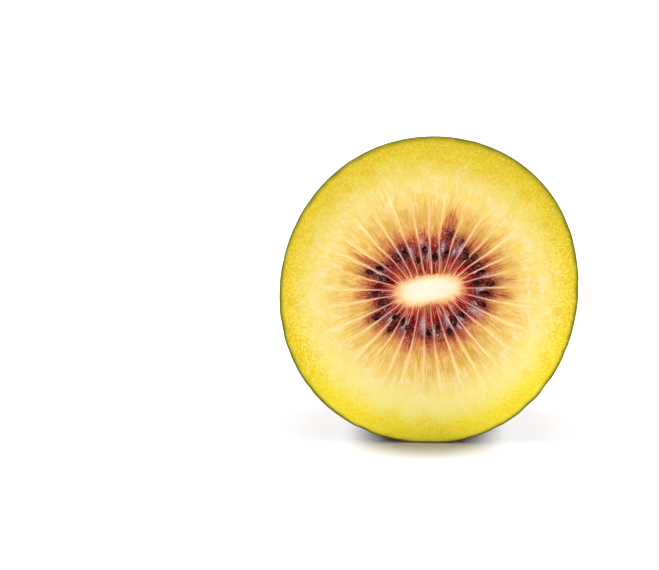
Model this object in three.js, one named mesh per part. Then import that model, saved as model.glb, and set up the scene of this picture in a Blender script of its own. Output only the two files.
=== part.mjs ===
// Half of a red kiwi fruit, cut straight across its middle.
//
// Millimetres, +Z up. The fruit's own axis runs along +Y, from the cut face at the front to the
// stem end at the back, and leans back a little, so the cut face looks forwards (-Y) and slightly
// up. The half rests on a small flat spot where the ripe fruit has settled, at Z = 0, and the
// origin is on that plane, under the middle of the fruit. It grew as one piece, so it is one mesh.

import * as THREE from "three";

// Driving dimensions
const FACE_RADIUS = 25; // mean radius of the cut, which is at the fruit's widest
const HALF_LENGTH = 31; // from the cut to the stem end, along the fruit's axis
const BARREL = 2.5; // exponent of the side's superellipse: 2 is an ellipse, more is squarer
const LEAN = THREE.MathUtils.degToRad(12); // how far the cut face leans back from upright

// The resting flat
const FLAT_DEPTH = 1.5; // how far the lowest point of the round fruit is pressed up
const FLAT_SHOULDER = 0.3; // height over which the flat rounds into the side

// The cut's outline, as waves round the axis: [waves per turn, share of the radius, crest angle].
// Angles run from +X towards +Z.
const OUTLINE_WAVES = [
  [2, 0.02, THREE.MathUtils.degToRad(68)], // the fruit is slightly oval
  [3, 0.004, THREE.MathUtils.degToRad(66)],
  [4, 0.006, THREE.MathUtils.degToRad(39)],
];
const LUMP = 0.006; // height of the slow unevenness along the side, as a share of the radius

// The stem scar: a corky ring round a shallow dish, with a pit and the stub of the stalk
const SCAR_RADIUS = 5.2; // to the crest of the ring
const RING_HEIGHT = 0.4;
const RING_WIDTH = 1.3; // of the whole crest
const DISH_DEPTH = 0.35;
const PIT_RADIUS = 1.6;
const PIT_DEPTH = 0.9;
const STUB_RADIUS = 0.7;
const STUB_HEIGHT = 0.5; // above the floor of the pit

// Mesh fineness
const SEGMENTS = 80; // round the axis
const FACE_RINGS = 3;
const SIDE_RINGS = 30;
const END_RINGS = 18;
const END_RADIUS = 7.2; // the end's closer rings start here

const smooth = (from, to, x) => THREE.MathUtils.smoothstep(x, from, to);

// Distance along the axis of the smooth fruit's surface at a given radius.
function sideHeight(radius) {
  return HALF_LENGTH * (1 - (radius / FACE_RADIUS) ** BARREL) ** (1 / BARREL);
}

// The meridian that is turned round the axis: x is the radius, y the distance from the cut.
function meridian() {
  const points = [];
  for (let i = 0; i < FACE_RINGS; i++) {
    points.push(new THREE.Vector2((FACE_RADIUS * i) / FACE_RINGS, 0));
  }
  const endAngle = Math.acos((END_RADIUS / FACE_RADIUS) ** (BARREL / 2));
  for (let i = 0; i < SIDE_RINGS; i++) {
    const angle = (endAngle * i) / SIDE_RINGS;
    points.push(
      new THREE.Vector2(
        FACE_RADIUS * Math.cos(angle) ** (2 / BARREL),
        HALF_LENGTH * Math.sin(angle) ** (2 / BARREL),
      ),
    );
  }
  for (let i = 0; i <= END_RINGS; i++) {
    const radius = END_RADIUS * (1 - i / END_RINGS);
    points.push(new THREE.Vector2(radius, sideHeight(radius)));
  }
  return points;
}

// Share by which the surface stands out from the turned shape, at an angle round the axis and a
// distance along it. The stem end is round, so the waves die out towards it.
function unevenness(angle, along) {
  const share = along / HALF_LENGTH;
  const waves = OUTLINE_WAVES.reduce(
    (sum, [count, height, crest]) => sum + height * Math.cos(count * (angle - crest)),
    0,
  );
  const lumps =
    Math.sin(Math.PI * share) *
    (Math.sin(2 * angle + 5 * share) + 0.7 * Math.sin(3 * angle - 7 * share + 1));
  return waves * (1 - share ** 2) + LUMP * lumps;
}

// Height of the stem scar above the smooth end. The ring is worn unevenly.
function scar(radius, angle) {
  const crest = SCAR_RADIUS * (1 + 0.04 * Math.sin(2 * angle + 1) + 0.02 * Math.sin(5 * angle));
  const worn = 1 + 0.3 * Math.sin(3 * angle + 2) + 0.25 * Math.sin(7 * angle);
  const ring = RING_HEIGHT * worn * Math.exp(-(((radius - crest) / (RING_WIDTH / 2)) ** 2));
  const dish = DISH_DEPTH * (1 - smooth(crest - RING_WIDTH, crest, radius));
  const pit = PIT_DEPTH * (1 - smooth(PIT_RADIUS * 0.5, PIT_RADIUS, radius));
  const stub = STUB_HEIGHT * (1 - smooth(STUB_RADIUS * 0.4, STUB_RADIUS, radius));
  return ring - dish - pit + stub;
}

// Moves every vertex of the turned shape to its place on the grown fruit.
function grow(geometry) {
  const position = geometry.getAttribute("position");
  const point = new THREE.Vector3();
  for (let i = 0; i < position.count; i++) {
    point.fromBufferAttribute(position, i);
    const angle = Math.atan2(point.z, point.x);
    const radius = Math.hypot(point.x, point.z);
    const wider = 1 + unevenness(angle, point.y);
    const raised = point.y > 0 ? scar(radius, angle) : 0;
    position.setXYZ(i, point.x * wider, point.y + raised, point.z * wider);
  }
}

// Presses the underside up to a flat at Z = 0 that rounds smoothly into the side.
function settle(geometry) {
  geometry.computeBoundingBox();
  const box = geometry.boundingBox;
  geometry.translate(
    -(box.min.x + box.max.x) / 2,
    -(box.min.y + box.max.y) / 2,
    -(box.min.z + FLAT_DEPTH),
  );
  const position = geometry.getAttribute("position");
  for (let i = 0; i < position.count; i++) {
    const height = position.getZ(i);
    const near = Math.max(FLAT_SHOULDER - Math.abs(height), 0) / FLAT_SHOULDER;
    position.setZ(i, Math.max(height, 0) + (near ** 2 * FLAT_SHOULDER) / 4);
  }
}

function kiwiHalf() {
  const geometry = new THREE.LatheGeometry(meridian(), SEGMENTS);
  grow(geometry);
  geometry.rotateX(-LEAN);
  settle(geometry);
  geometry.computeVertexNormals();
  const material = new THREE.MeshStandardMaterial({
    color: 0x8a7656,
    roughness: 0.55,
    metalness: 0,
  });
  const mesh = new THREE.Mesh(geometry, material);
  mesh.name = "kiwi_half";
  return mesh;
}

const part = new THREE.Group();
part.add(kiwiHalf());

export default part;
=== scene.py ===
"""Looks for the cut half of a red kiwi fruit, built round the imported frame. Metres, +Z up."""

import math
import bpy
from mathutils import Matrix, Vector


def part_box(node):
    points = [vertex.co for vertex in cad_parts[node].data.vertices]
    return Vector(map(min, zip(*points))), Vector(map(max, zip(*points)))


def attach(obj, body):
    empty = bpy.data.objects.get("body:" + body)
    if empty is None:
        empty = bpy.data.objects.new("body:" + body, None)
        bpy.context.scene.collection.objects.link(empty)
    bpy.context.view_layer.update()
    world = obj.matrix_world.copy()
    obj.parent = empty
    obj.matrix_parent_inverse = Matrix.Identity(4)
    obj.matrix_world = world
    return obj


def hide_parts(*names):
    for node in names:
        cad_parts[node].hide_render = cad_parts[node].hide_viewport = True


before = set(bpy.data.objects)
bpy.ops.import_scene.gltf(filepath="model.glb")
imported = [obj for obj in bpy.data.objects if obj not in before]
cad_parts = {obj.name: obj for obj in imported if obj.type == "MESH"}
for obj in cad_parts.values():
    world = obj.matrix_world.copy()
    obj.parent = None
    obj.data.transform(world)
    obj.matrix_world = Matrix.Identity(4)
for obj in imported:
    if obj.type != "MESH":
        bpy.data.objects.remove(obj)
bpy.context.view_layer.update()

from types import SimpleNamespace

import bmesh
import bpy
import numpy as np
from mathutils import Vector, noise

MM = 0.001

# The fruit's form, with the dimensions of its solid
FACE_RADIUS = 24.98 * MM
HALF_LENGTH = 30.98 * MM
BARREL = 2.5
LEAN = math.radians(12)
OUTLINE_WAVES = ((2, 0.020, 68), (3, 0.004, 66), (4, 0.006, 39))  # waves, share, crest in degrees
LUMP = 0.006
FLAT_SHOULDER = 0.3 * MM
SCAR_RADIUS = 5.2 * MM
RING_HEIGHT = 0.4 * MM
RING_WIDTH = 1.3 * MM
DISH_DEPTH = 0.35 * MM
PIT_RADIUS = 1.6 * MM
PIT_DEPTH = 0.9 * MM
STUB_RADIUS = 0.7 * MM
STUB_HEIGHT = 0.5 * MM
PEEL = 0.17 * MM  # thickness of the skin
UNDER_SCAR = 1.6 * MM  # how far short of the end the insides stop, clear of the pit
LINING_GAP = 0.02 * MM  # between the flesh's plain back and the skin's lining
NICK = 0.14 * MM  # depth of the cut edge's unevenness
NICK_REACH = 0.6 * MM  # how far back from the cut it fades
SET_BACK = 0.006 * MM  # keeps the face's lower edge, divided more finely here, in the solid's box

# Fineness of the meshes
FACE_COLUMNS = 640
FACE_ROWS = 112
BACK_ROWS = 14
SKIN_COLUMNS = 360
SKIN_ROWS = 180
LINING_ROWS = 14
SEED_RINGS = 12
SEED_COLUMNS = 16

# The pale core is an ellipse. Everything round it follows the ellipses and hyperbolas that share
# its two foci.
CORE_LONG = 4.8 * MM
CORE_SHORT = 2.35 * MM
CORE_TILT = math.radians(8.4)
CORE_ACROSS = -0.2 * MM
CORE_UP = 0.08 * MM
CORE_FOCUS = math.sqrt(CORE_LONG**2 - CORE_SHORT**2)
# Close to the core the walls about one direction stand further round than they do further out
BEND_AT, BEND_SPREAD, BEND = 66, 13, 7.5  # degrees
BEND_END = 0.38  # share of the face's radius where the bend has gone

# Places in the run of colours outwards from the core, up to 1 at the skin. They are shares of the
# face's radius, but for RED_END, to which each chamber's end of the red is brought.
CORE_EDGE = 0.15
SEED_RING = 0.30
RED_END = 0.43
PALE_START = 0.62
RAY_END = 0.63  # share of the face's radius where a ray of plain length ends

# Each chamber of seeds: the angle of the wall where it starts, and how far out its red reaches, as
# a share of the face's radius.
CHAMBERS = (
    (6, 0.49), (15.5, 0.50), (25.5, 0.49), (34.5, 0.46), (46, 0.45), (58, 0.57), (72, 0.39),
    (81.5, 0.40), (93, 0.40), (105, 0.42), (117, 0.42), (128, 0.39), (140, 0.50), (149, 0.46),
    (160, 0.42), (171, 0.46), (182, 0.38), (195.5, 0.47), (206, 0.45), (216, 0.42), (226, 0.40),
    (237, 0.44), (247.5, 0.38), (259, 0.42), (269.5, 0.43), (281, 0.42), (292, 0.42),
    (303.5, 0.38), (315.5, 0.42), (329, 0.45), (342, 0.52), (353.5, 0.52),
)
# Seeds: angle round the core, distance as a share of the face's radius, length in millimetres
SEEDS = (
    (1, 0.31, 2.3), (12, 0.34, 2.0), (20, 0.335, 2.2), (30, 0.355, 1.9), (37, 0.32, 2.1),
    (42, 0.35, 1.6), (50, 0.385, 1.8), (62, 0.40, 2.3), (60, 0.27, 2.2), (74, 0.24, 2.1),
    (87, 0.28, 2.0), (98, 0.23, 2.3), (112, 0.285, 2.8), (121, 0.30, 2.1), (145, 0.34, 1.9),
    (153, 0.385, 2.2), (154, 0.28, 2.2), (176, 0.31, 2.4), (189, 0.275, 2.6), (202, 0.36, 2.5),
    (218, 0.27, 2.2), (222, 0.35, 1.7), (229, 0.27, 1.9), (239, 0.285, 2.5), (264, 0.31, 2.1),
    (275, 0.29, 2.0), (287, 0.32, 2.0), (297, 0.27, 2.5), (310, 0.27, 2.0), (335, 0.345, 2.3),
    (347, 0.35, 2.5), (357, 0.385, 2.6),
)
# Whitish painted reflections of wet films beside the walls: angle, distance, and length in
# millimetres
PAINTED_FILM_REFLECTIONS = (
    (7, 0.37, 1.2), (47, 0.345, 1.8), (52, 0.31, 1.3), (66, 0.31, 1.6), (70, 0.27, 1.4),
    (84, 0.27, 1.9), (90, 0.34, 1.1), (104, 0.30, 1.5), (118, 0.31, 1.6), (150, 0.33, 1.2),
    (214, 0.30, 1.5), (233, 0.29, 2.1), (257, 0.26, 2.2), (271, 0.30, 1.5), (291, 0.26, 2.2),
    (299, 0.33, 1.2), (307, 0.29, 1.3), (324, 0.34, 2.2), (333, 0.31, 1.2), (351, 0.33, 1.3),
)
# Ochre spots that lie in each chamber beyond its red, and their half sizes
SPOTS_PER_CHAMBER = 3
SPOT_ACROSS = 0.5 * MM
SPOT_OUT = 0.8 * MM

# Colours outwards from the core: place, the darker tone there and the lighter one
PULP_TONES = (
    (0.110, (247, 237, 212), (250, 242, 222)), (0.130, (250, 231, 188), (252, 239, 208)),
    (0.150, (248, 206, 144), (252, 222, 166)), (0.166, (234, 164, 112), (250, 198, 138)),
    (0.182, (138, 16, 9), (208, 74, 52)), (0.205, (98, 2, 2), (186, 14, 12)),
    (0.240, (92, 3, 2), (192, 14, 14)), (0.280, (82, 5, 3), (188, 36, 30)),
    (0.325, (92, 15, 11), (192, 68, 53)), (0.360, (122, 42, 32), (206, 106, 82)),
    (0.400, (160, 70, 50), (226, 158, 98)), (0.440, (194, 118, 62), (240, 190, 110)),
    (0.490, (216, 151, 68), (245, 198, 114)), (0.560, (230, 180, 82), (247, 209, 124)),
    (0.640, (239, 202, 108), (247, 217, 138)), (0.720, (245, 217, 122), (249, 227, 150)),
    (0.800, (246, 219, 104), (250, 228, 134)), (0.860, (245, 213, 74), (251, 227, 106)),
    (0.910, (237, 201, 38), (248, 219, 68)), (0.950, (219, 187, 26), (238, 208, 50)),
    (0.985, (190, 170, 26), (218, 194, 42)),
)
RAY_TONES = (
    (0.15, (252, 214, 156)), (0.19, (250, 180, 138)), (0.23, (236, 158, 140)),
    (0.28, (232, 172, 162)), (0.33, (240, 184, 164)), (0.40, (250, 204, 156)),
    (0.50, (254, 222, 154)), (0.62, (255, 238, 172)), (0.75, (255, 242, 176)),
)

# Pale specks of the skin, from coarse to fine: distance apart in millimetres, and the largest
# one's size as a share of it.
LENTICELS = ((2.1, 0.24), (1.25, 0.23), (0.7, 0.22))

FLOOR_RADIUS = 3.0  # metres
FLOOR_CORNERS = 96
SKY_STRENGTH = 0.08
# Suns: azimuth, elevation and spread in degrees, and strength. Azimuth 0 is the front, 90 is +X.
SUNS = (
    ("top_light", 180, 78, 40, 0.8),
    ("left_light", -122, 31, 34, 6.2),
    ("right_light", 122, 31, 34, 6.2),
    ("front_light", -12, 5, 14, 1.23),
)

CAMERA_TURN = 2  # degrees
CAMERA_RISE = 15.5  # degrees
CAMERA_DISTANCE = 0.4495  # metres
LENS = 150  # millimetres
HALF_RIGHT_OF_MIDDLE = 16.33 * MM
HALF_BELOW_MIDDLE = 0.9 * MM

RANDOM = np.random.default_rng(7)


# ---- Form -------------------------------------------------------------------------------------


def smoothstep(low, high, x):
    """0 up to low and 1 from high on, going smoothly between them."""
    share = np.clip((x - low) / (high - low), 0, 1)
    return share * share * (3 - 2 * share)


def face_edge(angle):
    """The cut's radius at an angle round the axis."""
    return FACE_RADIUS * (1 + outline_waves(angle)) - nicks(angle)


def nicks(angle):
    """How far the knife and handling have worn the cut edge back from a smooth curve."""
    wave = np.sin(11 * angle + 2) * np.sin(17 * angle + 0.5) + 0.35 * np.sin(43 * angle)
    return NICK * smoothstep(-0.2, 1.2, wave)


def outline_waves(angle):
    """How much wider than a circle the fruit is at an angle, as a share."""
    return sum(h * np.cos(n * (angle - math.radians(crest))) for n, h, crest in OUTLINE_WAVES)


def scar_height(radius, angle):
    """How far the stem scar stands above the smooth end."""
    crest = SCAR_RADIUS * (1 + 0.04 * np.sin(2 * angle + 1) + 0.02 * np.sin(5 * angle))
    worn = 1 + 0.3 * np.sin(3 * angle + 2) + 0.25 * np.sin(7 * angle)
    ring = RING_HEIGHT * worn * np.exp(-(((radius - crest) / (RING_WIDTH / 2)) ** 2))
    dish = DISH_DEPTH * (1 - smoothstep(crest - RING_WIDTH, crest, radius))
    pit = PIT_DEPTH * (1 - smoothstep(PIT_RADIUS * 0.5, PIT_RADIUS, radius))
    stub = STUB_HEIGHT * (1 - smoothstep(STUB_RADIUS * 0.4, STUB_RADIUS, radius))
    return ring - dish - pit + stub


def meridian(steps):
    """Radius, distance from the cut and length so far at even steps from the rim to the end."""
    angle = np.linspace(0, math.pi / 2, 4000)
    radius = FACE_RADIUS * np.cos(angle) ** (2 / BARREL)
    along = HALF_LENGTH * np.sin(angle) ** (2 / BARREL)
    length = np.concatenate(([0], np.cumsum(np.hypot(np.diff(radius), np.diff(along)))))
    even = np.linspace(0, length[-1], steps)
    return np.interp(even, length, radius), np.interp(even, length, along), even


def grown(angle, radius, along):
    """Points of the fruit's outside before it leans: x to the right, y along the axis, z up."""
    share = along / HALF_LENGTH
    lumps = np.sin(math.pi * share) * (
        np.sin(2 * angle + 5 * share) + 0.7 * np.sin(3 * angle - 7 * share + 1)
    )
    wider = 1 + outline_waves(angle) * (1 - share**2) + LUMP * lumps
    y = along + np.where(along > 0, scar_height(radius, angle), 0)
    return np.stack((radius * wider * np.cos(angle), y, radius * wider * np.sin(angle)), -1)


def leaned(points):
    """The same points, once the fruit leans back."""
    x, y, z = np.moveaxis(points, -1, 0)
    c, s = math.cos(LEAN), math.sin(LEAN)
    return np.stack((x, y * c + z * s, z * c - y * s), -1)


def settled(points, floor=0.0):
    """Presses what lies under the floor up to it, rounding smoothly into the side."""
    height = points[..., 2] - floor
    near = np.maximum(FLAT_SHOULDER - np.abs(height), 0) / FLAT_SHOULDER
    points = points.copy()
    points[..., 2] = floor + np.maximum(height, 0) + near**2 * FLAT_SHOULDER / 4
    return points


def columns(count):
    """Even angles once round."""
    return np.linspace(0, 2 * math.pi, count, endpoint=False)


def find_shift():
    """What moves the leaned fruit to the place of its solid."""
    radius, along, _ = meridian(120)
    points = leaned(grown(columns(240)[None, :], radius[:, None], along[:, None])).reshape(-1, 3)
    low, high = points.min(0), points.max(0)
    box_low, box_high = (np.array(corner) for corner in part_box("kiwi_half"))
    shift = (box_low + box_high - low - high) / 2
    shift[1] += SET_BACK
    shift[2] = box_high[2] - high[2]
    return shift


SHIFT = find_shift()
FACE_CENTRE = Vector(SHIFT)
FACE_NORMAL = Vector((0, -math.cos(LEAN), math.sin(LEAN)))
FACE_UP = Vector((0, math.sin(LEAN), math.cos(LEAN)))


def outside(radius, along, angle):
    """A grid of points on the finished outside, one row for each step along the fruit."""
    radius, along, angle = radius[:, None], along[:, None], angle[None, :]
    worn = nicks(angle) * np.exp(-along / NICK_REACH)
    return settled(leaned(grown(angle, radius - worn, along)) + SHIFT)


def under_skin(rows, angle, depth):
    """A plain grid some way inside the outside, clear of the pit in the stem scar."""
    radius, along, _ = meridian(rows)
    return inset(outside(radius, np.minimum(along, HALF_LENGTH - UNDER_SCAR), angle), depth)


def inset(grid, depth):
    """The same grid, moved inwards along its normals."""
    down = np.gradient(grid, axis=0)
    around = np.roll(grid, -1, axis=1) - np.roll(grid, 1, axis=1)
    normal = np.cross(down, around)
    normal /= np.maximum(np.linalg.norm(normal, axis=-1, keepdims=True), 1e-12)
    normal[-1] = normal[-2].mean(0)
    return grid - normal * depth


# ---- Meshes -----------------------------------------------------------------------------------


def new_piece(name, points, faces):
    """A smooth mesh object that rides with the fruit."""
    mesh = bpy.data.meshes.new(name)
    mesh.from_pydata(points, [], faces)
    mesh.update()
    mesh.shade_smooth()
    piece = bpy.data.objects.new(name, mesh)
    bpy.context.scene.collection.objects.link(piece)
    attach(piece, "root")
    return piece


def store(piece, name, values):
    """Keeps one number or one vector for each vertex, for the material to read."""
    values = np.asarray(values, np.float32)
    if values.ndim == 1:
        piece.data.attributes.new(name, "FLOAT", "POINT").data.foreach_set("value", values)
    else:
        layer = piece.data.attributes.new(name, "FLOAT_VECTOR", "POINT")
        layer.data.foreach_set("vector", values.ravel())


def strip(row_a, row_b, count):
    """Faces that join two closed rows of vertices."""
    return [
        (row_a + i, row_b + i, row_b + (i + 1) % count, row_a + (i + 1) % count)
        for i in range(count)
    ]


def cap(row, tip, count):
    """Faces that join a closed row of vertices to one vertex."""
    return [(row + i, tip, row + (i + 1) % count) for i in range(count)]


def edit_mesh(piece, change):
    """Runs one change on a piece's mesh."""
    work = bmesh.new()
    work.from_mesh(piece.data)
    change(work)
    work.to_mesh(piece.data)
    work.free()


# ---- Nodes ------------------------------------------------------------------------------------


def srgb(red, green, blue):
    """A colour given as it shows on a screen, 0 to 255."""
    values = [c / 255 for c in (red, green, blue)]
    linear = [c / 12.92 if c <= 0.04045 else ((c + 0.055) / 1.055) ** 2.4 for c in values]
    return (*linear, 1.0)


class Tree:
    """Short names for the nodes of one material."""

    def __init__(self, name):
        self.material = bpy.data.materials.new(name)
        self.material.use_nodes = True
        self.nodes = self.material.node_tree.nodes
        self.links = self.material.node_tree.links
        self.shader = self.nodes["Principled BSDF"]
        self.place = self.nodes.new("ShaderNodeTexCoord").outputs["Object"]

    def put(self, socket, value):
        if isinstance(value, bpy.types.NodeSocket):
            self.links.new(value, socket)
        else:
            socket.default_value = value

    def read(self, name, vector=False):
        """A value that the mesh stores."""
        node = self.nodes.new("ShaderNodeAttribute")
        node.attribute_name = name
        return node.outputs["Vector" if vector else "Fac"]

    def math(self, operation, a, b=0.0, c=0.0):
        node = self.nodes.new("ShaderNodeMath")
        node.operation = operation
        for socket, value in zip(node.inputs, (a, b, c)):
            self.put(socket, value)
        return node.outputs[0]

    def times(self, a, b):
        return self.math("MULTIPLY", a, b)

    def weighted(self, *parts):
        """The sum of values, each times its weight."""
        total = self.times(*parts[0])
        for value, weight in parts[1:]:
            total = self.math("MULTIPLY_ADD", value, weight, total)
        return total

    def swing(self, base, wave, amount):
        """The base moved up and down by a noise."""
        return self.math("MULTIPLY_ADD", self.math("SUBTRACT", wave, 0.5), amount, base)

    def mix_number(self, share, a, b):
        node = self.nodes.new("ShaderNodeMix")
        self.put(node.inputs[0], share)
        self.put(node.inputs[2], a)
        self.put(node.inputs[3], b)
        return node.outputs[0]

    def scaled(self, vector, scale):
        node = self.nodes.new("ShaderNodeVectorMath")
        node.operation = "MULTIPLY"
        self.put(node.inputs[0], vector)
        node.inputs[1].default_value = scale
        return node.outputs[0]

    def part(self, vector, axis):
        node = self.nodes.new("ShaderNodeSeparateXYZ")
        self.put(node.inputs[0], vector)
        return node.outputs[axis]

    def noise(self, vector, scale, detail, roughness, warp=0.0):
        node = self.nodes.new("ShaderNodeTexNoise")
        self.put(node.inputs["Vector"], vector)
        node.inputs["Scale"].default_value = scale
        node.inputs["Detail"].default_value = detail
        node.inputs["Roughness"].default_value = roughness
        node.inputs["Distortion"].default_value = warp
        return node.outputs["Fac"]

    def grain(self, size, detail, roughness=0.5, warp=0.0):
        """Noise with grains of one size, in metres, fixed to the piece."""
        return self.noise(self.place, 1 / size, detail, roughness, warp)

    def combed(self, flow, around, outwards, detail, roughness):
        """Noise along the face's rays: how many grains there are to a radian, and outwards."""
        return self.noise(self.scaled(flow, (around, around, outwards)), 1, detail, roughness)

    def cells(self, vector, size, feature="F1"):
        node = self.nodes.new("ShaderNodeTexVoronoi")
        node.feature = feature
        self.put(node.inputs["Vector"], vector)
        node.inputs["Scale"].default_value = 1 / size
        return node

    def fade(self, value, low, high, to_low=0.0, to_high=1.0):
        """Goes smoothly from to_low at low to to_high at high."""
        node = self.nodes.new("ShaderNodeMapRange")
        node.interpolation_type = "SMOOTHSTEP"
        for socket, number in zip(node.inputs, (value, low, high, to_low, to_high)):
            self.put(socket, number)
        return node.outputs[0]

    def fade_out(self, value, low, high):
        """Goes smoothly from 1 at low to 0 at high."""
        return self.fade(value, low, high, 1.0, 0.0)

    def band(self, value, start, full, leave, end):
        """Rises from 0 at start to 1 at full, and falls from 1 at leave to 0 at end."""
        return self.times(self.fade(value, start, full), self.fade_out(value, leave, end))

    def ramp(self, value, stops):
        node = self.nodes.new("ShaderNodeValToRGB")
        self.put(node.inputs[0], value)
        elements = node.color_ramp.elements
        while len(elements) < len(stops):
            elements.new(0.5)
        for element, (place, colour) in zip(elements, stops):
            element.position = place
            element.color = srgb(*colour)
        return node.outputs["Color"]

    def mix(self, share, a, b, blend="MIX"):
        node = self.nodes.new("ShaderNodeMix")
        node.data_type = "RGBA"
        node.blend_type = blend
        for socket, value in ((node.inputs[0], share), (node.inputs[6], a), (node.inputs[7], b)):
            self.put(socket, value)
        return node.outputs[2]

    def lay(self, colour, screen_colour, share, strength=1.0):
        """Lays a colour over another, as far as a share times a strength says."""
        if strength != 1.0:
            share = self.times(share, strength)
        return self.mix(share, colour, srgb(*screen_colour))

    def bump(self, height, distance, strength):
        node = self.nodes.new("ShaderNodeBump")
        node.inputs["Strength"].default_value = strength
        node.inputs["Distance"].default_value = distance
        self.put(node.inputs["Height"], height)
        return node.outputs[0]

    def finish(self, **sockets):
        for name, value in sockets.items():
            self.put(self.shader.inputs[name.replace("_", " ")], value)
        return self.material


# ---- The cut face's form ----------------------------------------------------------------------


def elliptic(share):
    """The ellipse's own coordinate at a distance given as a share of the face's radius."""
    return np.arccosh(np.maximum(2 * (share * FACE_RADIUS / CORE_FOCUS) ** 2, 1)) / 2


def distance_share(mu):
    """The opposite of elliptic."""
    return CORE_FOCUS * np.sqrt(np.cosh(2 * mu) / 2) / FACE_RADIUS


def from_core(mu, angle):
    """Place on the face, across and up, of a point of the core's ellipses and hyperbolas."""
    x = CORE_FOCUS * np.cosh(mu) * np.cos(angle)
    y = CORE_FOCUS * np.sinh(mu) * np.sin(angle)
    c, s = math.cos(CORE_TILT), math.sin(CORE_TILT)
    return x * c - y * s + CORE_ACROSS, x * s + y * c + CORE_UP


def rim_of(angle, edge):
    """The elliptic coordinate at which each hyperbola meets the face's edge."""
    low, high = np.zeros_like(angle), np.full_like(angle, 4.0)
    for _ in range(40):
        middle = (low + high) / 2
        x, y = from_core(middle, angle)
        beyond = np.hypot(x, y) > edge(np.arctan2(y, x))
        low, high = np.where(beyond, low, middle), np.where(beyond, middle, high)
    return low


def on_face(across, up, out):
    """Points at a place on the cut face, some way out of it."""
    basis = [np.array(v) for v in ((1, 0, 0), FACE_UP, FACE_NORMAL)]
    parts = [np.asarray(value)[..., None] * axis for value, axis in zip((across, up, out), basis)]
    return SHIFT + parts[0] + parts[1] + parts[2]


def ripple(points, scale, seed):
    """Smooth noise, about -1 to 1, at each point."""
    offset = Vector((seed * 7.3, seed * 3.1, seed * 5.7))
    return np.array([noise.noise(Vector(point) * scale + offset) for point in points])


def chamber_at(degrees):
    """Each point's chamber, its place across it from 0 to 1, and all the chambers' widths."""
    starts = np.array([start for start, _ in CHAMBERS], float)
    ends = np.append(starts[1:], starts[0] + 360)
    turned = (degrees - starts[0]) % 360 + starts[0]
    index = np.searchsorted(starts, turned, side="right") - 1
    return index, (turned - starts[index]) / (ends[index] - starts[index]), ends - starts


def bent_flow(degrees, share):
    """The angles, bent as the walls are, and a smooth field of direction and distance for noise."""
    bend = BEND * np.exp(-(((degrees - BEND_AT) / BEND_SPREAD) ** 2))
    degrees = degrees + bend * (1 - smoothstep(CORE_EDGE, BEND_END, share))
    bent = np.radians(degrees)
    apart = smoothstep(distance_share(0.0), CORE_EDGE, share)  # 0 where the core's two sides meet
    return degrees, np.stack((np.cos(bent), np.sin(bent) * apart, share), -1)


def walls(angle, share, index, across, metre_per_chamber):
    """How much of a wall between two chambers there is at each point, up to 1."""
    strengths = RANDOM.uniform(0.65, 1.0, len(CHAMBERS))
    lengths = RANDOM.uniform(-0.06, 0.14, len(CHAMBERS))
    nearest = np.where(across < 0.5, index, (index + 1) % len(CHAMBERS))
    distance = np.minimum(across, 1 - across) * metre_per_chamber
    width = np.interp(share, (0.15, 0.35, 0.5, 0.7), (0.08, 0.125, 0.21, 0.34)) * MM
    end = RAY_END + 0.08 * np.clip(-np.sin(angle), 0, 1) ** 2 + lengths[nearest]
    wall = np.exp(-((distance / width) ** 3)) * strengths[nearest]
    wall *= 1 - smoothstep(end - 0.22, end + 0.05, share)
    return wall * smoothstep(0.14, 0.19, share)


def red_reach(index, across):
    """How far out the red comes at each point: furthest in the middle of each chamber."""
    reaches = np.array([reach for _, reach in CHAMBERS])
    pointed = np.interp(reaches, (0.45, 0.57), (2.2, 0.9))[index]
    return reaches[index] - 0.6 * (reaches[index] - 0.33) * np.abs(2 * across - 1) ** pointed


def pulp_place(mu, angle, share, reach):
    """Where each point stands in the run of colours from the core to the skin, which is 1."""
    across, up = np.cosh(mu) * np.cos(angle), np.sinh(mu) * np.sin(angle)
    # The palest part is flatter than the core's ellipse
    inside = np.hypot(across / CORE_LONG, up / (0.83 * CORE_SHORT)) * CORE_FOCUS
    # The red starts sooner above and below the core, and later beyond its two ends
    at_ends = np.cos(angle) ** 2
    early = np.interp(share, (0.13, 0.16, 0.18, 0.24), (0, 0.016, 0.020, 0))
    early *= 1 + 0.9 * np.maximum(np.sin(angle), 0)
    late = np.interp(share, (0.15, 0.20, 0.255, 0.29), (0, 0.028, 0.05, 0))
    near_core = np.maximum(share + (1 - at_ends) * early - at_ends * late, CORE_EDGE)
    red_pace = (RED_END - SEED_RING) / (reach - SEED_RING)
    pale_pace = (PALE_START - RED_END) / (PALE_START - reach)
    zones = (
        (inside < 1, 0.10 + 0.05 * inside**3),
        (share < SEED_RING, near_core),
        (share < reach, SEED_RING + (share - SEED_RING) * red_pace),
        (share < PALE_START, RED_END + (share - reach) * pale_pace),
    )
    return np.select([where for where, _ in zones], [place for _, place in zones], share)


def ochre_spots(share, index, across, metre_per_chamber):
    """1 in the middle of each small spot, fading to 0 round it."""
    reaches = np.array([reach for _, reach in CHAMBERS])
    spot = np.zeros_like(share)
    for _ in range(SPOTS_PER_CHAMBER):
        sides = RANDOM.uniform(0.2, 0.8, len(CHAMBERS))
        shares = np.minimum(reaches + RANDOM.uniform(0.02, 0.16, len(CHAMBERS)), 0.60)
        sizes = RANDOM.uniform(0.2, 1.0, len(CHAMBERS))
        aside = (across - sides[index]) * metre_per_chamber / SPOT_ACROSS
        out = (share - shares[index]) * FACE_RADIUS / SPOT_OUT
        spot = np.maximum(spot, np.exp(-(aside**2) - out**2) * sizes[index])
    return spot * (1 - smoothstep(0.54, 0.63, share))


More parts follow.
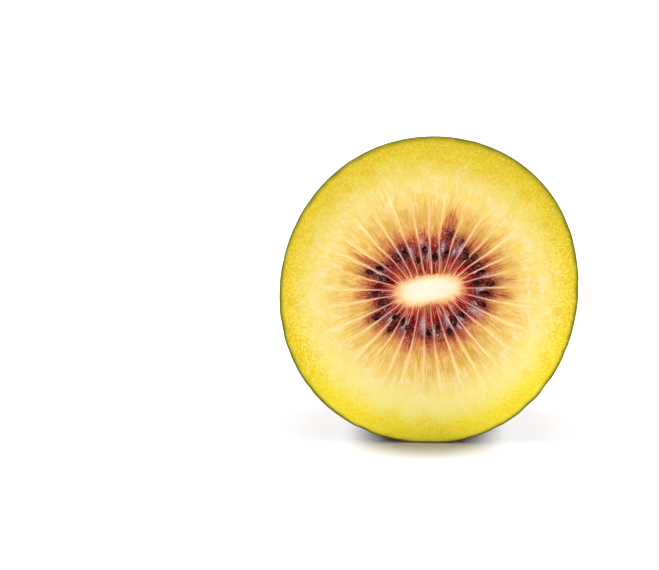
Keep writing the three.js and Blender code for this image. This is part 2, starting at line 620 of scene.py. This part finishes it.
def face_fields(mu, angle):
    """Everything that the cut face's relief and colour follow, at each point."""
    share = distance_share(mu)
    degrees, flow = bent_flow(np.degrees(angle), share)
    sway = ripple(flow * (6, 6, 5), 1, 1) * smoothstep(0.2, 0.45, share)  # degrees
    index, across, widths = chamber_at(degrees + sway)
    metre_per_radian = CORE_FOCUS * np.sqrt(np.sinh(mu) ** 2 + np.sin(angle) ** 2)
    metre_per_chamber = np.radians(widths[index]) * metre_per_radian
    return {
        "flow": flow,
        "wall": walls(angle, share, index, across, metre_per_chamber),
        "pulp": pulp_place(mu, angle, share, red_reach(index, across)),
        "spot": ochre_spots(share, index, across, metre_per_chamber),
        "share": share,
    }


def places_on_face(listed):
    """Each listed thing's place on the face, its direction outwards, and its length."""
    for degrees, share, length in listed:
        angle, mu = math.radians(degrees), float(elliptic(share))
        here = np.array(from_core(mu, angle))
        outwards = np.array(from_core(mu + 0.01, angle)) - here
        yield here, outwards / np.linalg.norm(outwards), length * MM


def cover_of(listed, across, up, long, wide, power):
    """1 in the middle of each listed oval, fading to 0 beside it."""
    cover = np.zeros_like(across)
    for (x, y), (dx, dy), length in places_on_face(listed):
        along = ((across - x) * dx + (up - y) * dy) / (length * long)
        aside = ((up - y) * dx - (across - x) * dy) / (length * wide)
        cover = np.maximum(cover, np.exp(-((along**2 + aside**2) ** power)))
    return cover


def face_relief(fields, across, up):
    """How far the face stands out of the cut's plane. Nothing does: the pulp has sunk a little."""
    share = fields["share"]
    # Depths in millimetres
    pulp_zone = smoothstep(0.16, 0.24, share) * (1 - smoothstep(0.4, 0.6, share))
    places = np.stack((across, up, np.zeros_like(up)), -1)
    sunk = (0.12 + 0.10 * ripple(places, 1 / (0.8 * MM), 2)) * pulp_zone * (1 - fields["wall"])
    grain = 0.03 * ripple(places, 1 / (1.3 * MM), 3) + 0.02 * ripple(places, 1 / (0.5 * MM), 4)
    edge = 0.12 * smoothstep(0.97, 1.0, fields["to_edge"])
    return -(sunk + 0.06 + grain + edge) * MM


def face_points():
    """The cut face: its points, the angle of each one on the rim, and the fields of all."""
    angle = columns(FACE_COLUMNS)
    end = distance_share(rim_of(angle, lambda a: face_edge(a) - PEEL))
    outwards = np.linspace(0, 1, FACE_ROWS)[:, None] ** 0.9
    core_share = distance_share(0.0)
    mu = elliptic(core_share + (end - core_share)[None, :] * outwards)
    angles = np.broadcast_to(angle, mu.shape)
    across, up = from_core(mu, angles)
    rim_angle = np.arctan2(up[-1], across[-1])
    across, up = across.ravel(), up.ravel()
    fields = face_fields(mu.ravel(), angles.ravel())
    fields["seeds"] = cover_of(SEEDS, across, up, 0.80, 0.58, 1.5)
    fields["painted_film_reflection"] = cover_of(PAINTED_FILM_REFLECTIONS, across, up, 0.5, 0.2, 1.0)
    fields["to_edge"] = np.broadcast_to(outwards, mu.shape).ravel()
    points = settled(on_face(across, up, face_relief(fields, across, up)), PEEL)
    return points, rim_angle, fields


def flesh_faces(tip):
    """Faces of the cut and of the back, with the two sides of the core's middle line joined."""
    rows = FACE_ROWS + BACK_ROWS - 2
    faces = []
    for row in range(rows - 1):
        faces += strip(row * FACE_COLUMNS, (row + 1) * FACE_COLUMNS, FACE_COLUMNS)
    faces += cap((rows - 1) * FACE_COLUMNS, tip, FACE_COLUMNS)
    fold = {i: FACE_COLUMNS - i for i in range(FACE_COLUMNS // 2 + 1, FACE_COLUMNS)}
    faces = [tuple(dict.fromkeys(fold.get(v, v) for v in face)) for face in faces]
    return [face for face in faces if len(face) > 2]


def drop_loose(work):
    """Deletes the doubled vertices that the fold along the core left without faces."""
    bmesh.ops.delete(work, geom=[v for v in work.verts if not v.link_faces], context="VERTS")


def make_flesh():
    """One closed solid: the cut face, finely divided, and a plain back just inside the skin."""
    face, rim_angle, fields = face_points()
    back = under_skin(BACK_ROWS, rim_angle, PEEL + LINING_GAP)
    points = np.concatenate((face, back[1:-1].reshape(-1, 3), back[-1, :1]))
    piece = new_piece("flesh", points, flesh_faces(len(points) - 1))
    for name, values in fields.items():
        at_skin = 1.0 if name in ("share", "pulp") else 0.0
        on_back = np.full((len(points) - len(values), *values.shape[1:]), at_skin)
        store(piece, name, np.concatenate((values, on_back)))
    edit_mesh(piece, drop_loose)
    piece.data.materials.append(flesh_material())
    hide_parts("kiwi_half")


# ---- The flesh's material ---------------------------------------------------------------------


def flesh_patterns(tree):
    """What the face's colours follow: the fields that the mesh stores, and noise."""
    flow = tree.read("flow", vector=True)
    upwards = tree.part(flow, "Y")
    return SimpleNamespace(
        share=tree.read("share"),
        pulp=tree.read("pulp"),
        wall=tree.read("wall"),
        spot=tree.read("spot"),
        seeds=tree.read("seeds"),
        painted_film_reflection=tree.read("painted_film_reflection"),
        to_edge=tree.read("to_edge"),
        to_right=tree.part(flow, "X"),
        upwards=upwards,
        # Painted light: 1 low down on the face, where the flesh's colours are painted lighter
        painted_light_below=tree.fade_out(upwards, -0.9, -0.1),
        speck=tree.grain(0.26 * MM, 2, 0.65),
        clump=tree.grain(0.7 * MM, 2, 0.6),
        broad=tree.grain(1.9 * MM, 3, 0.6, 0.4),
        patch=tree.grain(2.6 * MM, 3, 0.55),
        cell=tree.combed(flow, 62, 56, 2, 0.6),
        streak=tree.combed(flow, 34, 9, 3, 0.6),
        silk=tree.combed(flow, 48, 9, 3, 0.6),
        fibre=tree.combed(flow, 80, 11, 2, 0.5),
    )


def pulp_colour(tree, face):
    """The colour by the place between core and skin, wandering and mottled as flesh is."""
    beyond_core = tree.fade(face.share, 0.15, 0.24)
    place = tree.swing(face.pulp, face.streak, tree.mix_number(beyond_core, 0.05, 0.18))
    place = tree.swing(place, face.speck, tree.mix_number(beyond_core, 0.02, 0.05))
    place = tree.swing(place, face.patch, 0.05)
    calm = tree.swing(face.share, face.patch, 0.05)
    place = tree.mix_number(tree.fade(face.share, 0.6, 0.75), place, calm)

    fibrous = tree.weighted((face.speck, 0.28), (face.clump, 0.17), (face.fibre, 0.55))
    silky = tree.weighted((face.silk, 0.6), (face.speck, 0.2), (face.patch, 0.2))
    soft = tree.mix_number(tree.fade(face.share, 0.62, 0.78), silky, face.cell)
    mottle = tree.mix_number(tree.fade(face.share, 0.40, 0.48), fibrous, soft)
    return tree.mix(
        tree.fade(mottle, 0.41, 0.59),
        tree.ramp(place, [(stop, dark) for stop, dark, _ in PULP_TONES]),
        tree.ramp(place, [(stop, light) for stop, _, light in PULP_TONES]),
    )


def with_red_pulp(tree, face, colour):
    """Dark gel between the seeds, bright red tips beyond them, and the seeds' dark hollows."""
    gel = tree.band(face.pulp, 0.22, 0.26, 0.31, 0.36)
    gel = tree.times(gel, tree.fade(face.streak, 0.42, 0.56))
    gel = tree.times(gel, tree.mix_number(tree.math("ABSOLUTE", face.to_right), 0.4, 0.75))
    colour = tree.lay(colour, (54, 4, 2), gel)
    shreds = tree.weighted((face.speck, 0.35), (face.fibre, 0.65))
    tip = tree.times(tree.fade(shreds, 0.49, 0.60), tree.band(face.pulp, 0.32, 0.37, 0.43, 0.48))
    tip = tree.times(tip, tree.fade(face.share, 0.40, 0.46, 0.5, 0.9))
    colour = tree.lay(colour, (206, 46, 36), tip)
    hollow = tree.times(face.seeds, tree.fade(face.speck, 0.36, 0.56, 0.9, 0.4))
    return tree.lay(colour, (50, 6, 4), hollow)


def with_ochre(tree, face, colour):
    """Brownish streaks beyond the red at the upper right, and small ochre spots all round."""
    upper_right = tree.weighted((face.to_right, 0.6), (face.upwards, 0.8))
    brown = tree.times(tree.fade(upper_right, 0.1, 0.7), tree.fade(face.silk, 0.44, 0.60))
    brown = tree.times(brown, tree.band(face.share, 0.40, 0.47, 0.50, 0.64))
    colour = tree.lay(colour, (198, 142, 66), brown, 0.6)
    spot = tree.times(face.spot, tree.fade(face.speck, 0.34, 0.60, 0.4, 1.2))
    return tree.lay(colour, (214, 172, 62), tree.fade(spot, 0.1, 0.8), 0.8)


def with_rays(tree, face, colour):
    """The pale walls, the short threads round the core, and fine pale fibres further out."""
    ray_colour = tree.ramp(face.share, RAY_TONES)
    wall = tree.times(face.wall, tree.fade(face.fibre, 0.25, 0.6, 0.6, 1.1))
    colour = tree.mix(wall, colour, ray_colour)
    thread = tree.band(face.share, 0.145, 0.17, 0.20, 0.30)
    thread = tree.times(thread, tree.fade(face.fibre, 0.53, 0.60))
    colour = tree.mix(tree.times(thread, 0.65), colour, ray_colour)
    pale = tree.times(tree.fade(face.fibre, 0.50, 0.70), tree.fade(face.share, 0.40, 0.56))
    pale = tree.times(pale, tree.fade(face.share, 0.72, 0.92, 1.0, 0.2))
    return tree.lay(colour, (254, 232, 164), pale, 0.35)


def with_painted_wet_highlights(tree, face, colour):
    """Painted highlights of the wet pulp: a pale web of shine among the seeds, whitish reflections
    of wet films, and small glints.
    """
    # Painted highlights: a pale web of wet shine among the seeds
    painted_highlight_web = tree.cells(tree.place, 0.50 * MM, "DISTANCE_TO_EDGE").outputs["Distance"]
    painted_highlight_web = tree.times(tree.fade_out(painted_highlight_web, 0.02, 0.10), tree.band(face.pulp, 0.21, 0.25, 0.33, 0.38))
    painted_highlight_web = tree.times(painted_highlight_web, tree.fade(face.patch, 0.42, 0.56))
    colour = tree.lay(colour, (206, 146, 138), painted_highlight_web, 0.4)
    # Painted reflection: whitish patches where the wet films shine
    painted_film_reflection = tree.times(face.painted_film_reflection, tree.fade(face.speck, 0.36, 0.56, 0.25, 1.0))
    colour = tree.lay(colour, (212, 196, 202), painted_film_reflection, 0.75)
    # Painted glints: small whitish dots in the red pulp
    painted_glint = tree.cells(tree.place, 0.62 * MM).outputs["Distance"]
    painted_glint = tree.times(tree.fade_out(painted_glint, 0.10, 0.20), tree.fade(face.clump, 0.46, 0.54))
    painted_glint = tree.times(painted_glint, tree.band(face.pulp, 0.21, 0.26, 0.34, 0.44))
    return tree.lay(colour, (240, 214, 216), painted_glint, 0.75)


def with_pale_flesh(tree, face, colour):
    """Cream and lemon clouds outside the rays, and painted light: a brighter yellow over the lower
    half.
    """
    clouds = tree.band(face.share, 0.52, 0.66, 0.78, 0.92)
    cream = tree.times(tree.fade(face.broad, 0.52, 0.62), clouds)
    colour = tree.lay(colour, (251, 230, 170), cream, 0.5)
    lemon = tree.times(tree.fade_out(face.broad, 0.38, 0.48), clouds)
    colour = tree.lay(colour, (246, 212, 84), lemon, 0.45)
    # Painted light: the outer flesh is made brighter and purer yellow low down on the face
    painted_light_amount = tree.times(face.painted_light_below, tree.fade(face.share, 0.58, 0.86))
    yellow = tree.mix(tree.fade(face.share, 0.78, 0.94), srgb(255, 240, 146), srgb(255, 234, 54))
    return tree.mix(tree.times(painted_light_amount, 0.9), colour, yellow)


def with_grain(tree, face, colour):
    """The coarse grain of the flesh near the skin: ochre patches, pale specks that are partly
    painted glints, and dull specks, the patches and the dull specks painted lighter low down as
    painted light.
    """
    near_skin = tree.fade(face.share, 0.74, 0.90)
    ochre = tree.fade(tree.weighted((face.patch, 0.55), (face.clump, 0.45)), 0.49, 0.60)
    # Painted light: the ochre patches are lighter low down on the face
    golden_with_painted_light = tree.mix(face.painted_light_below, srgb(230, 188, 34), srgb(253, 213, 34))
    colour = tree.mix(tree.times(tree.times(ochre, near_skin), 0.6), colour, golden_with_painted_light)
    # Pale specks, partly the flesh's grain and partly painted glints
    speck_and_painted_glint = tree.times(tree.fade(face.speck, 0.53, 0.64), near_skin)
    colour = tree.lay(colour, (255, 242, 110), speck_and_painted_glint, 0.75)
    dull = tree.times(tree.fade_out(face.speck, 0.34, 0.46), near_skin)
    # Painted light: the dull specks are lighter low down on the face
    dull_with_painted_light = tree.mix(face.painted_light_below, srgb(204, 174, 14), srgb(248, 210, 16))
    return tree.mix(tree.times(dull, 0.65), colour, dull_with_painted_light)


def with_green(tree, face, colour):
    """Towards the top of the outer flesh a greener, darker tint, partly the flesh's own colour and
    partly painted shade, and a green line under the skin.
    """
    # Partly the flesh's own tint, partly painted shade: darker towards the top of the face
    olive_and_painted_shade = tree.times(tree.fade(face.upwards, -0.4, 0.9), tree.fade(face.share, 0.56, 0.92))
    colour = tree.lay(colour, (204, 178, 50), olive_and_painted_shade, 0.5)
    green = tree.fade(face.to_edge, 0.968, 1.0)
    green = tree.times(green, tree.fade(face.patch, 0.3, 0.6, 0.5, 1.0))
    green = tree.times(green, tree.fade(face.upwards, -1.0, -0.6, 0.3, 0.8))
    return tree.lay(colour, (142, 146, 26), green)


def flesh_material():
    """The wet cut flesh, from the pale core to the green line under the skin."""
    tree = Tree("flesh")
    face = flesh_patterns(tree)
    colour = pulp_colour(tree, face)
    layers = (
        with_red_pulp, with_ochre, with_rays, with_painted_wet_highlights, with_pale_flesh, with_grain, with_green,
    )
    for layer in layers:
        colour = layer(tree, face, colour)
    ribbed = tree.fade(face.share, 0.14, 0.17, 0.0, 0.5)  # the core is smooth
    height = tree.weighted((face.speck, 0.6), (face.fibre, ribbed))
    return tree.finish(
        Base_Color=colour,
        Roughness=tree.fade(face.speck, 0.3, 0.7, 0.32, 0.55),
        Normal=tree.bump(height, 0.10 * MM, 0.7),
        IOR=1.36,
        Specular_IOR_Level=0.02,
    )


# ---- Seeds ------------------------------------------------------------------------------------


def seed_points(place, direction, length):
    """Rings of points from the seed's point, which looks towards the core, to its round end."""
    width = length * RANDOM.uniform(0.56, 0.70)
    depth = length * 0.40
    turn = RANDOM.normal(0, 0.12)
    sunk = RANDOM.uniform(0.26, 0.48) * depth
    dx = direction[0] * math.cos(turn) - direction[1] * math.sin(turn)
    dy = direction[0] * math.sin(turn) + direction[1] * math.cos(turn)
    share = np.linspace(0, 1, SEED_RINGS + 1)[:, None]
    angle = columns(SEED_COLUMNS)[None, :]
    girth = np.sin(math.pi * share) ** 0.8 * (0.55 + 0.45 * share)
    along = (share - 0.5) * length
    aside = np.cos(angle) * girth * width / 2
    out = np.sin(angle) * girth * depth / 2 - sunk
    across = place[0] + dx * along - dy * aside
    up = place[1] + dy * along + dx * aside
    return on_face(across, up, out).reshape(-1, 3)


def close_ends(work):
    """Joins each end ring of a seed to one point, and turns all faces outwards."""
    bmesh.ops.remove_doubles(work, verts=work.verts, dist=1e-7)
    bmesh.ops.recalc_face_normals(work, faces=work.faces)


def make_seeds():
    """Flat, pointed seeds, each lying along its chamber."""
    points, faces = [], []
    for place, direction, length in places_on_face(SEEDS):
        first = len(points)
        points += list(seed_points(place, direction, length))
        for ring in range(SEED_RINGS):
            row = first + ring * SEED_COLUMNS
            faces += strip(row, row + SEED_COLUMNS, SEED_COLUMNS)
    piece = new_piece("seeds", points, faces)
    edit_mesh(piece, close_ends)
    piece.data.materials.append(seed_material())
    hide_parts("kiwi_half")


def seed_material():
    """Dark, glossy and finely pitted, with pale flecks on it, partly shreds of pulp and partly
    painted glints.
    """
    tree = Tree("seed_coat")
    pits = tree.cells(tree.place, 0.22 * MM).outputs["Distance"]
    tone = tree.grain(0.8 * MM, 2)
    colour = tree.mix(tree.fade(tone, 0.38, 0.62), srgb(30, 3, 2), srgb(78, 15, 12))
    # Pale flecks: partly shreds of pulp, partly painted glints
    shreds = tree.times(tree.fade(tree.grain(0.25 * MM, 1), 0.50, 0.62), tree.fade(tone, 0.35, 0.6))
    return tree.finish(
        Base_Color=tree.lay(colour, (158, 96, 90), shreds, 0.6),
        Roughness=tree.fade(pits, 0.1, 0.6, 0.18, 0.4),
        Normal=tree.bump(pits, 0.06 * MM, 0.8),
        IOR=1.45,
        Specular_IOR_Level=0.04,
    )


# ---- Skin -------------------------------------------------------------------------------------


def skin_faces(tip, last):
    """Faces of the outside, the cut edge and the lining. Tip and last are the two ends' points."""
    rim = tip + 1
    faces = []
    for row in range(SKIN_ROWS - 2):
        faces += strip(row * SKIN_COLUMNS, (row + 1) * SKIN_COLUMNS, SKIN_COLUMNS)
    faces += cap((SKIN_ROWS - 2) * SKIN_COLUMNS, tip, SKIN_COLUMNS)
    faces += strip(rim, 0, SKIN_COLUMNS)
    for row in range(LINING_ROWS - 2):
        start = rim + row * SKIN_COLUMNS
        faces += strip(start + SKIN_COLUMNS, start, SKIN_COLUMNS)
    end_row = rim + (LINING_ROWS - 2) * SKIN_COLUMNS
    return faces + [(a, c, b) for a, b, c in cap(end_row, last, SKIN_COLUMNS)]  # looks inwards


def skin_wrap(radius, length, angle):
    """Places for the specks, as on a cylinder: even on the side, narrower and longer at the end."""
    least = 16 * MM
    girth = np.maximum(radius, least)[:, None]
    squeeze = 0.6 + 0.4 * smoothstep(7 * MM, least, radius)
    reach = np.cumsum(np.gradient(length) * squeeze)[:, None]
    x, y = girth * np.cos(angle)[None, :], girth * np.sin(angle)[None, :]
    return np.stack(np.broadcast_arrays(x, y, reach), -1)[:-1].reshape(-1, 3)


def make_skin():
    """A thin closed shell: the finished outside, the cut edge and a plain lining."""
    angle = columns(SKIN_COLUMNS)
    radius, along, length = meridian(SKIN_ROWS)
    grid = outside(radius, along, angle)
    lining = under_skin(LINING_ROWS, angle, PEEL)
    rim = inset(grid, PEEL)[0]
    outer, inner = grid[:-1].reshape(-1, 3), lining[1:-1].reshape(-1, 3)
    points = np.concatenate((outer, grid[-1, :1], rim, inner, lining[-1, :1]))
    piece = new_piece("skin", points, skin_faces(len(outer), len(points) - 1))

    hidden = len(points) - len(outer) - 1  # points of the cut edge and the lining
    wrap = np.concatenate((skin_wrap(radius, length, angle), np.zeros((hidden + 1, 3))))
    from_axis = np.concatenate((np.repeat(radius[:-1], SKIN_COLUMNS), [0]))
    store(piece, "wrap", wrap)
    store(piece, "from_axis", np.concatenate((from_axis, np.full(hidden, FACE_RADIUS))))
    store(piece, "inside", np.concatenate((np.zeros(len(outer) + 1), np.ones(hidden))))
    piece.data.materials.append(skin_material())
    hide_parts("kiwi_half")


def skin_patterns(tree):
    """What the skin's colours follow: the fields that the mesh stores, and noise."""
    radius = tree.swing(tree.read("from_axis"), tree.grain(1.3 * MM, 3, 0.6), 2.6 * MM)
    return SimpleNamespace(
        wrap=tree.read("wrap", vector=True),
        inside=tree.read("inside"),
        radius=radius,
        scar=tree.fade_out(radius, SCAR_RADIUS + 0.1 * MM, SCAR_RADIUS + 0.9 * MM),
        patches=tree.grain(10 * MM, 3),
        blush=tree.grain(6 * MM, 3, 0.6, 0.5),
        mottle=tree.grain(1.5 * MM, 3, 0.6),
        crumbs=tree.grain(0.55 * MM, 4, 0.7, 1.2),
        grain=tree.grain(0.42 * MM, 3, 0.65),
        fine=tree.grain(0.18 * MM, 2, 0.6),
    )


def peel_colour(tree, skin):
    """Brown and olive patches with a grain of darker and lighter dots."""
    colour = tree.mix(tree.fade(skin.patches, 0.40, 0.60), srgb(85, 64, 44), srgb(77, 65, 38))
    colour = tree.lay(colour, (101, 71, 55), tree.fade(skin.blush, 0.48, 0.66, 0.0, 0.6))
    colour = tree.lay(colour, (96, 73, 53), tree.fade(skin.mottle, 0.40, 0.62, 0.0, 0.5))
    colour = tree.lay(colour, (50, 39, 25), tree.fade(skin.grain, 0.36, 0.50, 0.6, 0.0))
    colour = tree.lay(colour, (118, 91, 67), tree.fade(skin.grain, 0.54, 0.68, 0.0, 0.55))
    return tree.lay(colour, (138, 108, 80), tree.fade(skin.fine, 0.54, 0.68, 0.0, 0.55))


def with_scar_surround(tree, skin, colour):
    """Ochre and greyish stains round the stem scar."""
    near_scar = tree.fade_out(skin.radius, SCAR_RADIUS + 0.5 * MM, SCAR_RADIUS + 8 * MM)
    colour = tree.lay(colour, (122, 100, 62), near_scar, 0.55)
    stain = tree.times(near_scar, tree.fade(skin.blush, 0.54, 0.64))
    return tree.lay(colour, (92, 74, 70), stain, 0.5)


def with_lenticels(tree, skin, colour):
    """Scattered pale specks, each its own size and a little ragged, with paler middles."""
    clear = tree.fade(skin.radius, SCAR_RADIUS + 1 * MM, SCAR_RADIUS + 9 * MM, 0.35, 1.0)
    for spacing, largest in LENTICELS:
        specks = tree.cells(skin.wrap, spacing * MM)
        limit = tree.fade(tree.part(specks.outputs["Color"], "X"), 0.1, 1.0, 0.0, largest)
        ragged = tree.swing(specks.outputs["Distance"], skin.grain, 0.10)
        beyond = tree.math("SUBTRACT", ragged, limit)
        speck = tree.times(tree.fade_out(beyond, -0.06, 0.03), clear)
        middle = tree.times(tree.fade_out(beyond, -0.14, -0.04), clear)
        colour = tree.lay(colour, (124, 92, 64), speck, 0.8)
        colour = tree.lay(colour, (152, 116, 86), middle, 0.7)
    return colour


def with_scar(tree, skin, colour):
    """The stem scar: a crumbling cork ring with painted shade between its crumbs, a greyish disc
    and a small dark hole.
    """
    disc = tree.fade_out(skin.radius, SCAR_RADIUS - 1.8 * MM, SCAR_RADIUS - 0.6 * MM)
    hole = tree.fade_out(skin.radius, 0.9 * MM, 1.6 * MM)
    cork = tree.mix(tree.fade(skin.crumbs, 0.42, 0.60), srgb(98, 64, 40), srgb(152, 110, 74))
    pith = tree.mix(tree.fade(skin.mottle, 0.4, 0.6), srgb(88, 70, 56), srgb(120, 94, 76))
    remains = tree.mix(tree.fade(skin.crumbs, 0.5, 0.6), srgb(26, 18, 14), srgb(104, 88, 48))
    colour = tree.mix(skin.scar, colour, cork)
    colour = tree.mix(tree.times(disc, tree.fade(skin.crumbs, 0.44, 0.56, 1.0, 0.5)), colour, pith)
    # Painted shade: dark where the crumbs' relief is low, between them
    painted_shade_gaps = tree.times(skin.scar, tree.fade(skin.crumbs, 0.36, 0.44, 0.9, 0.0))
    colour = tree.lay(colour, (34, 24, 16), painted_shade_gaps)
    return tree.mix(hole, colour, remains)


def skin_material():
    """Dull brown peel, and the green inner side that shows at the cut edge."""
    tree = Tree("skin")
    skin = skin_patterns(tree)
    colour = peel_colour(tree, skin)
    for layer in (with_scar_surround, with_lenticels, with_scar):
        colour = layer(tree, skin, colour)
    colour = tree.lay(colour, (128, 122, 44), tree.fade(skin.inside, 0.02, 0.2))
    # The lights from the sides are strong, to hold the floor white, so the skin is a little darker
    colour = tree.mix(1.0, colour, srgb(240, 240, 240), "MULTIPLY")

    crumbling = tree.times(skin.scar, skin.crumbs)
    parts = ((skin.grain, 0.5), (skin.fine, 0.2), (skin.mottle, 0.6), (crumbling, 2.5))
    relief = tree.weighted(*parts)
    return tree.finish(
        Base_Color=colour,
        Roughness=tree.fade(skin.grain, 0.3, 0.7, 0.48, 0.66),
        Normal=tree.bump(relief, 0.10 * MM, 0.9),
        IOR=1.45,
        Specular_IOR_Level=0.18,
        Sheen_Weight=0.04,
        Sheen_Roughness=0.4,
    )


# ---- Floor, light and camera ------------------------------------------------------------------


def make_floor():
    """A wide pale disc at z = 0."""
    mesh = bpy.data.meshes.new("floor")
    angles = columns(FLOOR_CORNERS)
    edge = [(FLOOR_RADIUS * math.cos(angle), FLOOR_RADIUS * math.sin(angle), 0) for angle in angles]
    mesh.from_pydata(edge, [], [tuple(range(FLOOR_CORNERS))])
    floor = bpy.data.objects.new("floor", mesh)
    bpy.context.scene.collection.objects.link(floor)
    tree = Tree("floor")
    shade = tree.fade(tree.grain(0.25, 2), 0.3, 0.7)
    colour = tree.mix(shade, srgb(228, 228, 228), srgb(231, 231, 231))
    mesh.materials.append(tree.finish(Base_Color=colour, Roughness=0.9, Specular_IOR_Level=0.1))


def direction_to(azimuth, elevation):
    """Towards what stands at an azimuth and an elevation, in degrees. Azimuth 0 is the front."""
    turn, rise = math.radians(azimuth), math.radians(elevation)
    level = math.cos(rise)
    return Vector((math.sin(turn) * level, -math.cos(turn) * level, math.sin(rise)))


def looking_from(direction):
    """The rotation of a camera or light that looks back along a direction."""
    return (-direction).to_track_quat("-Z", "Y").to_euler()


def make_studio():
    """A white sky and soft, far lights."""
    scene = bpy.context.scene
    scene.view_settings.view_transform = "Standard"
    scene.view_settings.look = "None"
    world = bpy.data.worlds.new("studio")
    scene.world = world
    world.use_nodes = True
    sky = world.node_tree.nodes["Background"]
    sky.inputs["Color"].default_value = (1, 1, 1, 1)
    sky.inputs["Strength"].default_value = SKY_STRENGTH
    for name, azimuth, elevation, spread, strength in SUNS:
        light = bpy.data.lights.new(name, "SUN")
        light.angle = math.radians(spread)
        light.energy = strength
        lamp = bpy.data.objects.new(name, light)
        lamp.rotation_euler = looking_from(direction_to(azimuth, elevation))
        scene.collection.objects.link(lamp)


def make_camera():
    """A far camera with a long lens, aimed beside the half so that it stands on the right."""
    towards = direction_to(CAMERA_TURN, CAMERA_RISE)
    turn = math.radians(CAMERA_TURN)
    right = Vector((math.cos(turn), math.sin(turn), 0))
    over = towards.cross(right)
    aim = FACE_CENTRE - right * HALF_RIGHT_OF_MIDDLE + over * HALF_BELOW_MIDDLE
    lens = bpy.data.cameras.new("camera")
    lens.lens = LENS
    lens.clip_start = 0.01
    lens.clip_end = 20
    camera = bpy.data.objects.new("camera", lens)
    camera.location = aim + towards * CAMERA_DISTANCE
    camera.rotation_euler = looking_from(towards)
    bpy.context.scene.collection.objects.link(camera)
    bpy.context.scene.camera = camera


make_camera()
make_studio()
make_floor()
make_flesh()
make_seeds()
make_skin()
